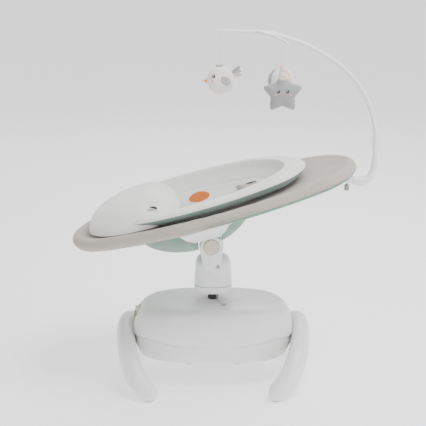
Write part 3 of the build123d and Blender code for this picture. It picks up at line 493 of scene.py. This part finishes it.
# ---------------------------------------------------------------- seat fabric
def oval(half_length, half_width, end_r, x0, count):
    """Centreline points and outward directions of the four-arc oval, in the seat's plane."""
    reach = half_length - end_r
    side_r = (reach ** 2 + half_width ** 2 - end_r ** 2) / (2 * (half_width - end_r))
    drop = side_r - half_width
    turn = math.atan2(drop, reach)
    arcs = [((x0 + reach, 0), end_r, -turn, 2 * turn), ((x0, -drop), side_r, turn, math.pi - 2 * turn),
            ((x0 - reach, 0), end_r, math.pi - turn, 2 * turn),
            ((x0, drop), side_r, math.pi + turn, math.pi - 2 * turn)]
    lengths = np.array([r * sweep for _, r, _, sweep in arcs])
    starts = np.concatenate([[0], np.cumsum(lengths)])
    points, outs = [], []
    for s in np.linspace(0, starts[-1], count, endpoint=False):
        k = min(int(np.searchsorted(starts, s, side="right")) - 1, 3)
        centre, r, first, sweep = arcs[k]
        a = first + (s - starts[k]) / r
        points.append((centre[0] + r * math.cos(a), centre[1] + r * math.sin(a)))
        outs.append((math.cos(a), math.sin(a)))
    return np.array(points), np.array(outs)


def wobble(point, scale, seed):
    """Smooth repeatable noise from -1 to 1."""
    return noise.noise(Vector((point[0] * scale + seed, point[1] * scale, point[2] * scale)))


RING, RING_OUT = oval(363.0, 193.0, 150.0, 0.0, 420)
SPLIT_FOOT = -14.0
SPLIT_HEAD = -58.0


def split_angle(x):
    """Where the taupe cover meets the pocket on the rim's section, in degrees."""
    blend = max(0.0, min(1.0, (x + 70.0) / 130.0))
    blend = blend * blend * (3 - 2 * blend)
    return SPLIT_HEAD + (SPLIT_FOOT - SPLIT_HEAD) * blend



def bowl_depth(x, y):
    """How far the cover dips into the pocket, from 0 to 1."""
    r2 = ((x + 60.0) / 150.0) ** 2 + (y / 156.0) ** 2
    return max(0.0, 1.0 - r2) ** 0.7


def cover_rows():
    """Padded taupe cover: over the rim, then across the seat."""
    rows = []
    for share in np.linspace(0.0, 1.0, 60):
        ring = []
        for (cx, cy), (ox, oy) in zip(RING, RING_OUT):
            angle = split_angle(cx) + (112.0 - split_angle(cx)) * share
            a = math.radians(angle)
            puff = 15.7 + 0.5 * wobble((cx, cy, angle), 0.012, 3.0)
            beside = max(0.0, 1 - abs(cx - 5) / 120.0) ** 0.5
            fold = math.exp(-((angle + 2 - 0.05 * cx) / 4.0) ** 2)
            fold += math.exp(-((angle + 20 - 0.05 * cx) / 4.0) ** 2)
            puff -= 2.2 * fold * beside
            puff += 0.5 * math.sin(cx * 0.11 + 2.0 * wobble((cx, cy, angle), 0.02, 4.0)) * beside
            d = puff * math.cos(a)
            ring.append((cx + ox * d, cy + oy * d, puff * math.sin(a)))
        rows.append(ring)
    for step in np.linspace(0.02, 1.0, 44):
        ring = []
        for (cx, cy), (ox, oy) in zip(RING, RING_OUT):
            x, y = (cx - ox * 6.0) * (1 - step), (cy - oy * 6.0) * (1 - step)
            fall = math.exp(-step / 0.10)
            z = 3.0 + 11.2 * fall + 0.8 * wobble((x, y, 0), 0.02, 9.0) * (1 - fall)
            z += 1.6 * math.exp(-((x - 260) / 60) ** 2) * (1 - fall)
            z -= 84.0 * bowl_depth(x, y)
            ring.append((x, y, z))
        rows.append(ring)
    return to_row(np.array(rows))


cover = grid("cover_fabric", cover_rows(), TAUPE)
finish_piece(cover, "seat", ["seat_cover"])

pocket = softened("pocket_fabric", "seat_pocket", TEAL, 0.003, 10, "seat")


def split_line(radius):
    """The line along the rim where cover and pocket are sewn together."""
    a = np.radians([split_angle(x) for x in RING[:, 0]])
    flat = RING + RING_OUT * (radius * np.cos(a))[:, None]
    return to_row(np.column_stack([flat, radius * np.sin(a)]))


piping = tube("rim_piping", split_line(15.8), 1.2 * MM, TAUPE, 8, closed=True)
finish_piece(piping, "seat", [])


# ---------------------------------------------------------------- insert cushion
DISH = (-38.0, 240.0, 141.0, 78.0)
EDGE, EDGE_OUT = oval(290.0, 177.0, 140.0, -39.0, 420)


def insert_height(x, y, u):
    """Top surface of the insert; u is 1 at the outline and 0 at the centre."""
    cx, a, b, depth = DISH
    crest = 49.0 + 8.0 * max(-1.0, min(1.0, y / 140.0))
    rho2 = ((x - cx) / a) ** 2 + (y / b) ** 2
    dish = crest - 3.0 - depth * math.sqrt(max(0.0, 1 - rho2)) if rho2 < 1 else 200.0
    crown = crest - 9.0 * ((u - 0.87) / 0.12) ** 2 if u > 0.87 else crest
    k = 7.0
    z = -k * math.log(math.exp(-crown / k) + math.exp(-dish / k))
    z -= 3.4 * math.exp(-((u - 0.70) / 0.011) ** 2)
    z += 1.5 * math.exp(-((u - 0.655) / 0.03) ** 2)
    return z


def insert_rows():
    """Side band, piping step, bolster and dish."""
    rows, slots = [], []
    squeeze = [1.0 - 0.05 * max(0.0, min(1.0, (-150.0 - x) / 120.0)) for x, _ in EDGE]
    for z, out in ((10.0, -44.0), (9.5, -34.0), (12.0, -25.0), (17.0, -15.0), (22.0, -7.0), (27.0, -1.5),
                   (31.0, 1.2), (34.0, 2.2), (37.0, 2.2), (39.5, 1.4)):
        ring = []
        for (x, y), (ox, oy), q in zip(EDGE, EDGE_OUT, squeeze):
            ring.append(((x + ox * out + 39) * q - 39, (y + oy * out) * q, z))
        rows.append(ring)
        slots.append(1)
    # The side rows below the piping take the teal-grey side cloth, teal underside cloth with painted shade;
    # the top three side rows stay cream.
    slots[-3:] = [0, 0, 0]
    us = np.concatenate([np.linspace(0.985, 0.6, 72), np.linspace(0.59, 0.0, 50)])
    for u in us:
        ring = []
        for (ex, ey), q in zip(EDGE, squeeze):
            x = -38.0 + (ex + 38.0) * u * q
            y = ey * u * q
            z = insert_height(x, y, u)
            z += 1.1 * wobble((x, y, 0), 0.02, 5.0) * min(1.0, u / 0.2)
            angle = math.atan2(y, x + 38)
            pucker = 0.9 * math.sin(angle * 46 + 3 * wobble((x, y, 0), 0.03, 1.0))
            z += pucker * math.exp(-((u - 0.715) / 0.022) ** 2)
            ring.append((x, y, z))
        rows.append(ring)
        slots.append(0)
    return to_row(np.array(rows)), slots[: len(rows) - 1]


insert_points, insert_slots = insert_rows()
insert = grid("insert_cushion_cover", insert_points, [CREAM, TEAL_SIDE_AND_SHADE], insert_slots)
finish_piece(insert, "seat", ["insert_cushion"])

INSERT_EDGE_Z = 34.0
squeeze_line = [1.0 - 0.05 * max(0.0, min(1.0, (-150.0 - x) / 120.0)) for x, _ in EDGE]
line = np.array([((x + ox * 2.4 + 39) * q - 39, (y + oy * 2.4) * q, INSERT_EDGE_Z)
                 for (x, y), (ox, oy), q in zip(EDGE, EDGE_OUT, squeeze_line)])
insert_piping = tube("insert_piping", to_row(line), 1.5 * MM, CREAM, 8, closed=True)
finish_piece(insert_piping, "seat", [])


def on_insert(x, y, up=0.0):
    """Seat-frame point on the insert's top, at a place inside the dish."""
    best, place = 1e9, 0.5
    for u in np.linspace(0.02, 0.98, 97):
        reach = np.hypot((EDGE[:, 0] + 38) * u - (x + 38), EDGE[:, 1] * u - y).min()
        if reach < best:
            best, place = reach, u
    return (x, y, insert_height(x, y, place) + up)


def patch(name, centre, half_long, half_wide, lift, mat, rim_mat, nodes):
    """Oval sewn patch that follows the insert's surface, with a raised stitched edge."""
    rows = []
    rises = {1.12: 0.0, 1.06: lift * 0.7, 1.0: lift, 0.94: lift * 0.8, 0.86: lift * 1.2}
    for r in (1.12, 1.06, 1.0, 0.94, 0.86, 0.7, 0.5, 0.3, 0.1, 0.0):
        ring = []
        rise = rises.get(r, lift * 1.35)
        for k in range(72):
            t = 2 * math.pi * k / 72
            x = centre[0] + half_long * r * math.cos(t)
            y = centre[1] + half_wide * r * math.sin(t)
            ring.append(on_insert(x, y, rise))
        rows.append(ring)
    obj = grid(name, to_row(np.array(rows)), [mat, rim_mat], [1, 1, 1, 0, 0, 0, 0, 0, 0])
    return finish_piece(obj, "seat", nodes)


patch("sewn_tag", (-39.0, 97.0), 31.0, 17.0, 1.6, LEATHER, CREAM, ["leather_tag"])


def slit(name, ends, half_wide):
    """Harness slot with a stitched lip, on the insert's surface; the slot itself is a near-black sheet laid
    just above the cushion, painted shade standing in for the shadow inside the opening.
    """
    (x0, y0), (x1, y1) = ends
    rows, lip = [], []
    for t in np.linspace(0, 1, 40):
        x, y = x0 + (x1 - x0) * t, y0 + (y1 - y0) * t + 6 * math.sin(math.pi * t)
        w = half_wide * math.sqrt(max(0.0, math.sin(math.pi * t))) + 0.05
        rows.append([on_insert(x, y - w, 0.5), on_insert(x, y, 0.9), on_insert(x, y + w, 0.5)])
        lip.append((x, y, w))
    obj = grid(name, to_row(np.array(rows)), SLOT_SHADE, wrap=False)
    finish_piece(obj, "seat", [])
    loop = [on_insert(x, y - w - 1, 1.0) for x, y, w in lip]
    loop += [on_insert(x, y + w + 1, 1.0) for x, y, w in lip[::-1]]
    edge = tube(name + "_lip", to_row(np.array(loop)), 0.9 * MM, CREAM, 8, closed=True)
    finish_piece(edge, "seat", [])


slit("far_harness_slot", ((62.0, 76.0), (122.0, 66.0)), 2.8)
slit("near_harness_slot", ((62.0, -76.0), (122.0, -66.0)), 2.8)


# ---------------------------------------------------------------- head pillow
def pillow_rows():
    """Crowned pillow, steep at its foot side and long towards the head."""
    rows = []
    for r in np.concatenate([np.linspace(0.90, 1.0, 6), np.sin(np.linspace(math.pi / 2, 0, 60))[1:]]):
        first = len(rows) < 6
        ring = []
        for k in range(300):
            t = 2 * math.pi * k / 300
            a = 79.0 if math.cos(t) > 0 else 162.0
            c = math.copysign(abs(math.cos(t)) ** 0.92, math.cos(t))
            s = math.copysign(abs(math.sin(t)) ** 0.92, math.sin(t))
            x, y = -165.0 + a * c * r, 157.0 * s * r
            if first:
                z = 9.0 + 7.0 * ((r - 0.9) / 0.1) ** 2
            else:
                z = 16.0 + 70.0 * math.sqrt(max(0.0, 1 - r ** 2.1))
                for sy in (-1, 1):
                    dx, dy = x + 150.0, sy * y - 118.0
                    z -= 7.0 * math.exp(-(dx / 16.0) ** 2 - (dy / 26.0) ** 2)
                z += 1.6 * wobble((x, y, z), 0.016, 2.0) * (1 - r ** 8)
                z -= 2.0 * math.exp(-((x + 96 + 0.1 * abs(y)) / 5.0) ** 2)
            ring.append((x, y, z))
        rows.append(ring)
    return to_row(np.array(rows))


pillow = grid("pillow_cover", pillow_rows(), PILLOW)
finish_piece(pillow, "seat", ["head_pillow"])


def pillow_seam():
    """Closing seam round the pillow's lower edge."""
    points = []
    for k in range(260):
        t = 2 * math.pi * k / 260
        a = 79.0 if math.cos(t) > 0 else 162.0
        c = math.copysign(abs(math.cos(t)) ** 0.92, math.cos(t))
        s = math.copysign(abs(math.sin(t)) ** 0.92, math.sin(t))
        points.append((-165.0 + a * c * 1.002, 157.0 * s * 1.002, 17.0))
    return to_row(np.array(points))


def pillow_height(x, y):
    """Top of the pillow over one place."""
    a = 79.0 if x > -165.0 else 162.0
    r = math.hypot((x + 165.0) / a, y / 157.0)
    return 16.0 + 70.0 * math.sqrt(max(0.0, 1 - r ** 2.1))


def pillow_slot(side):
    """Lens-shaped harness slot on the pillow's flank, with its stitched lip; the slot itself is a near-black
    sheet laid just above the pillow, painted shade standing in for the shadow inside the opening.
    """
    rows, loop = [], []
    for t in np.linspace(0, 1, 30):
        x = -150.0 + 34.0 * t
        w = 4.2 * math.sin(math.pi * t) + 0.2
        y = side * (126.0 - 5.0 * math.sin(math.pi * t))
        row = [(x, y + k * w, pillow_height(x, y + k * w) + (0.6 if k else 1.2)) for k in (-1, 0, 1)]
        rows.append(row)
        loop.append(((x, y - w - 0.8, row[0][2] + 0.6), (x, y + w + 0.8, row[2][2] + 0.6)))
    obj = grid(f"pillow_slot_{side + 1}", to_row(np.array(rows)), SLOT_SHADE, wrap=False)
    finish_piece(obj, "seat", [])
    edge = [a for a, _ in loop] + [b for _, b in loop[::-1]]
    lip = tube(f"pillow_slot_lip_{side + 1}", to_row(np.array(edge)), 1.1 * MM, PILLOW, 8, closed=True)
    finish_piece(lip, "seat", [])


pillow_slot(-1)
pillow_slot(1)
seam = tube("pillow_piping", pillow_seam(), 1.3 * MM, PILLOW, 8, closed=True)
finish_piece(seam, "seat", [])


# ---------------------------------------------------------------- cords
def nurbs(name, points):
    """Open smooth curve with the given control points, in metres."""
    data = bpy.data.curves.new(name, "CURVE")
    data.dimensions = "3D"
    spline = data.splines.new("NURBS")
    spline.points.add(len(points) - 1)
    for target, point in zip(spline.points, points):
        target.co = (*point, 1.0)
    spline.order_u = 3
    spline.use_endpoint_u = True
    data.resolution_u = 24
    obj = bpy.data.objects.new(name, data)
    bpy.context.scene.collection.objects.link(obj)
    return obj


CABLE_ROUTE = [(0.0095, -0.0175, 0.2296), (0.0095, -0.0175, 0.2208), (0.0115, -0.0215, 0.213),
               (0.015, -0.0285, 0.2085), (0.021, -0.043, 0.208), (0.0266, -0.0524, 0.203),
               (0.0294, -0.0578, 0.1948)]
guide = nurbs("cable_guide", CABLE_ROUTE)
guide_mesh = bpy.data.meshes.new_from_object(guide.evaluated_get(bpy.context.evaluated_depsgraph_get()))
cable_path = [tuple(v.co) for v in guide_mesh.vertices]
bpy.data.objects.remove(guide)
cable = tube("seat_lead", cable_path, 0.0015, CABLE, 12)
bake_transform(cable)
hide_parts("seat_cable")

STRINGS = {
    "bird": ((0.0158, 0.0, 0.9002), 0.822),
    "star": ((0.1683, -0.094, 0.8815), 0.812),
    "balloon": ((0.1763, 0.094, 0.8815), 0.807),
}
for toy, ((x, y, z), low) in STRINGS.items():
    string = nurbs(toy + "_line", [(x, y, z), (x, y, (z + low) / 2), (x, y, low)])
    string.data.bevel_depth = 0.0007
    string.data.materials.append(CORD)
    finish_piece(string, toy + "_toy", [toy + "_string"])


# ---------------------------------------------------------------- toys
PRINT = plush("star_print", (214, 205, 190), (120, 132, 140))
STAR_GREY = plush("star_grey", (150, 150, 152))
BIRD_WHITE = plush("bird_white", (232, 229, 224))
WING = plush("wing_print", (176, 178, 178), (96, 104, 110))
DARK_FELT = plush("dark_felt", (46, 44, 46))
PINK = plush("pink_felt", (222, 160, 160))
GOLD = plush("gold_felt", (206, 160, 96))
GORES = [(146, 152, 158), (228, 224, 216), (160, 184, 196), (222, 178, 172), (232, 228, 220),
         (204, 172, 112), (150, 158, 164), (226, 222, 214), (168, 192, 186), (220, 182, 176)]
BALL = striped("ball_gores", (0.1763, 0.094), GORES)


def blob(name, centre, radii, mat, power=2.0, tilt=0.0, rings=28, seed=0.0, rough=0.0):
    """Stuffed rounded form with a slightly uneven surface; tilt turns it about Y."""
    rows = []
    for a in np.linspace(-math.pi / 2 + 1e-3, math.pi / 2 - 1e-3, rings):
        row = []
        for k in range(48):
            t = 2 * math.pi * k / 48
            d = np.array([math.cos(a) * math.cos(t), math.cos(a) * math.sin(t), math.sin(a)])
            grow = (abs(d[0]) ** power + abs(d[1]) ** power + abs(d[2]) ** power) ** (-1 / power)
            grow *= 1 + rough * wobble(d, 3.0, seed)
            p = d * grow * np.array(radii)
            x = p[0] * math.cos(tilt) + p[2] * math.sin(tilt)
            z = -p[0] * math.sin(tilt) + p[2] * math.cos(tilt)
            row.append((centre[0] + x, centre[1] + p[1], centre[2] + z))
        rows.append(row)
    return grid(name, np.array(rows) * MM, mat, caps=(True, True))


def add(obj, body, nodes=()):
    """Short form of finish_piece for a toy's pieces."""
    return finish_piece(obj, body, list(nodes))


def toy_eye(name, centre, radius, facing, body):
    """Embroidered eye: dark disc with a light glint."""
    add(blob(name, centre, (radius, 1.6, radius), DARK_FELT), body)
    glint = (centre[0] - radius * 0.3, centre[1] + facing * 1.4, centre[2] + radius * 0.35)
    glint_radii = (radius * 0.3, 0.8, radius * 0.3)
    add(blob(name + "_glint", glint, glint_radii, BIRD_WHITE, rings=10), body)


bird = add(blob("bird_body", (18.8, 0.0, 785.0), (34.5, 21.0, 34.5), BIRD_WHITE, 2.1, rough=0.02), "bird_toy",
           ["bird"])
for index, (dx, angle) in enumerate(((-5.0, -0.5), (0.0, 0.0), (5.0, 0.5))):
    crest = blob(f"bird_crest_{index}", (15.8 + dx, 0.0, 819.5), (2.6, 2.0, 6.0), STAR_GREY, tilt=angle,
                 rings=14)
    add(crest, "bird_toy")
for index, angle in enumerate((-0.75, -0.35, 0.05)):
    centre = (54.0 + 3 * math.cos(angle), 0.0, 800.0 - 14 * math.sin(angle))
    mat = (STAR_GREY, WING, PRINT)[index]
    tail = blob(f"bird_tail_{index}", centre, (15.0, 3.6, 5.5), mat, tilt=angle, rings=18)
    add(tail, "bird_toy")
beak = blob("bird_beak", (-16.0, 0.0, 783.0), (7.5, 4.5, 4.4), GOLD, tilt=0.15, rings=14)
add(beak, "bird_toy")
for facing in (-1, 1):
    wing = blob(f"bird_wing_{facing + 1}", (31.0, facing * 19.0, 786.0), (15.0, 3.6, 10.5), WING, tilt=0.5,
                rings=20)
    add(wing, "bird_toy")
    toy_eye(f"bird_eye_{facing + 1}", (1.5, facing * 18.6, 797.0), 4.2, facing, "bird_toy")
    add(blob(f"bird_cheek_{facing + 1}", (-1.0, facing * 18.0, 785.0), (4.2, 1.5, 3.0), PINK, rings=14),
        "bird_toy")


def star_rows():
    """Puffed five-point star, thick in the middle and thin at its sewn edge."""
    cx, cy, cz = 168.3, -94.0, 766.0
    rows = []
    outline = []
    for k in range(300):
        t = 2 * math.pi * k / 300 + math.pi / 2
        local = (k / 60.0) % 1.0
        swing = abs(2 * local - 1)
        radius = 31.5 + (51.0 - 31.5) * swing ** 1.7
        radius -= 3.2 * max(0.0, (swing - 0.86) / 0.14) ** 2
        outline.append((radius * math.cos(t), radius * math.sin(t)))
    for r in np.concatenate([np.linspace(0.0, 1.0, 26), np.linspace(1.0, 0.0, 26)[1:]]):
        face = -1 if len(rows) < 26 else 1
        thick = 13.5 * (max(0.0, 1 - r ** 2.6)) ** 0.55
        row = []
        for ox, oz in outline:
            x, z = ox * max(r, 0.004), oz * max(r, 0.004)
            bumps = 0.5 * wobble((x, z, face), 0.06, 7.0)
            row.append((cx + x, cy + face * (thick + bumps * (1 - r)), cz + z))
        rows.append(row)
    return np.array(rows) * MM


star = add(grid("star_body", star_rows(), STAR_GREY), "star_toy", ["star"])
add(blob("star_cap", (168.3, -94.0, 802.5), (12.5, 11.0, 13.5), PRINT, rings=24), "star_toy")
for facing in (-1, 1):
    y = -94.0 + facing * 13.2
    for side in (-1, 1):
        toy_eye(f"star_eye_{facing + 1}_{side + 1}", (168.3 + side * 11.0, y, 772.0), 4.0, facing, "star_toy")
        place = (168.3 + side * 18.0, y - facing * 1.2, 763.0)
        cheek = blob(f"star_cheek_{facing + 1}_{side + 1}", place, (3.6, 1.4, 2.4), PINK, rings=12)
        add(cheek, "star_toy")
    add(blob(f"star_nose_{facing + 1}", (168.3, y + facing * 0.6, 766.0), (2.4, 1.5, 1.8), GOLD, rings=12),
        "star_toy")


def ball_rows():
    """Stuffed ball whose gores pull in a little at their seams."""
    cx, cy, cz = 176.3, 94.0, 772.0
    rows = []
    for a in np.linspace(-math.pi / 2 + 1e-3, math.pi / 2 - 1e-3, 60):
        row = []
        for k in range(200):
            t = 2 * math.pi * k / 200
            dip = 1 - 0.02 * (1 - abs(math.sin(5 * t))) ** 3 * math.cos(a) ** 0.5
            r = 33.6 * dip
            x = cx + r * math.cos(a) * math.cos(t)
            y = cy + r * math.cos(a) * math.sin(t)
            row.append((x, y, cz + r * math.sin(a)))
        rows.append(row)
    return np.array(rows) * MM


ball = grid("balloon_body", ball_rows(), BALL, caps=(True, True))
add(ball, "balloon_toy", ["balloon"])
add(blob("balloon_knot", (176.3, 94.0, 805.0), (4.6, 4.6, 2.6), GOLD, rings=14), "balloon_toy")


# ---------------------------------------------------------------- small details on the base
grommet_line = [(0.0279 + 0.0052 * math.cos(t), -0.0544 + 0.0066 * math.sin(t), 0.2068)
                for t in np.linspace(0, 2 * math.pi, 40, endpoint=False)]
grommet = tube("cable_grommet", grommet_line, 0.0011, CABLE, 8, closed=True)
finish_piece(grommet, "base", [])
for index, x in enumerate((-0.062, 0.062)):
    hook = blob(f"tray_tab_{index}", (x * 1000, -112.0, 66.0), (9.0, 5.0, 3.0), WHITE, 3.0, rings=14)
    finish_piece(hook, "base", [])


# ---------------------------------------------------------------- stage, light and camera
floor_mat = Shader("studio_floor", 0.5)
floor_mat.bsdf.inputs["Emission Color"].default_value = (1.0, 1.0, 1.0, 1.0)
floor_mat.bsdf.inputs["Emission Strength"].default_value = 0.5
floor_stops = [(0.3, linear((250, 250, 250))), (0.7, linear((252, 252, 252)))]
floor_mat.colour(floor_mat.ramp(floor_mat.noise(3.0), floor_stops))
bpy.ops.mesh.primitive_plane_add(size=80.0, location=(0, 20.0, 0))
floor = bpy.context.object
floor.name = "studio_floor"
floor.data.materials.append(floor_mat.mat)

world = bpy.data.worlds.new("studio")
bpy.context.scene.world = world
world.use_nodes = True
world.node_tree.nodes["Background"].inputs["Color"].default_value = (1.0, 1.0, 1.0, 1.0)
world.node_tree.nodes["Background"].inputs["Strength"].default_value = 1.05


def area_light(name, place, target, size, power):
    """Soft box that looks at a point."""
    data = bpy.data.lights.new(name, "AREA")
    data.shape = "DISK"
    data.size = size
    data.energy = power
    obj = bpy.data.objects.new(name, data)
    bpy.context.scene.collection.objects.link(obj)
    obj.location = place
    obj.rotation_euler = (Vector(target) - Vector(place)).to_track_quat("-Z", "Y").to_euler()


area_light("key_light", (0.9, -0.5, 2.7), (0, 0, 0.4), 1.3, 62.0)
area_light("fill_light", (2.0, -1.4, 1.2), (0, 0, 0.45), 1.6, 14.0)
area_light("back_light", (0.2, 2.4, 2.4), (0, 0.8, 0.2), 2.0, 40.0)

camera = bpy.data.objects.new("camera", bpy.data.cameras.new("camera"))
camera.data.lens = 80.95
camera.data.sensor_width = 36.0
camera.location = (0.0, -2.4, 1.1056)
camera.rotation_euler = (math.radians(74.5), 0, 0)
bpy.context.scene.collection.objects.link(camera)
bpy.context.scene.camera = camera
